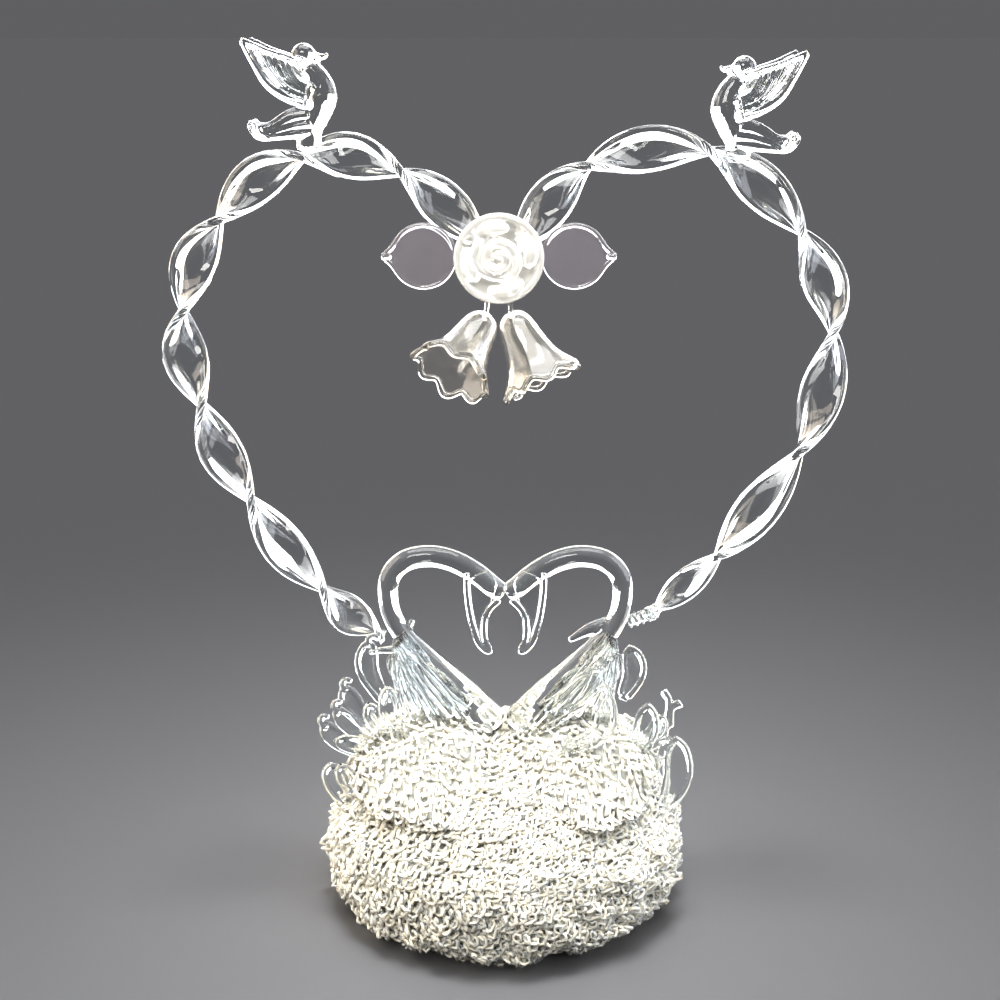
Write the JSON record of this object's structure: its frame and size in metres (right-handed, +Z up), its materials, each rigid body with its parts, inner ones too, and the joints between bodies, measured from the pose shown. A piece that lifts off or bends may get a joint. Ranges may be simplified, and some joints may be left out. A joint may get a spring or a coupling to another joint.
{
  "type": "blown glass cake topper",
  "caption": "Clear glass wedding cake topper with facing swans on a lace glass base, under a twisted ribbon heart with doves, bells and a rose",
  "frame": {"origin": "middle of the foot ring, on the surface the topper stands on", "axes": "+X to the viewer's right along the heart, +Y away from the viewer, +Z up"},
  "size_m": [0.1288, 0.0696, 0.1684],
  "materials": {
    "clear_glass": "clear borosilicate glass, flame-polished, colourless",
    "lace_glass": "clear glass thread laid in small loops and melted together, so that it looks whitish",
    "frosted_glass": "clear glass pulled thin, slightly hazy, with a bright melted rim"
  },
  "bodies": {
    "root": {"lace_base": "lace_glass", "swan_left": "clear_glass", "swan_right": "clear_glass", "heart_ribbon_left": "clear_glass", "heart_ribbon_right": "clear_glass", "rose": "clear_glass", "leaf_left": "clear_glass", "leaf_right": "clear_glass", "bell_left": "frosted_glass", "bell_right": "frosted_glass", "dove_left": "clear_glass", "dove_right": "clear_glass"}
  },
  "joints": []
}
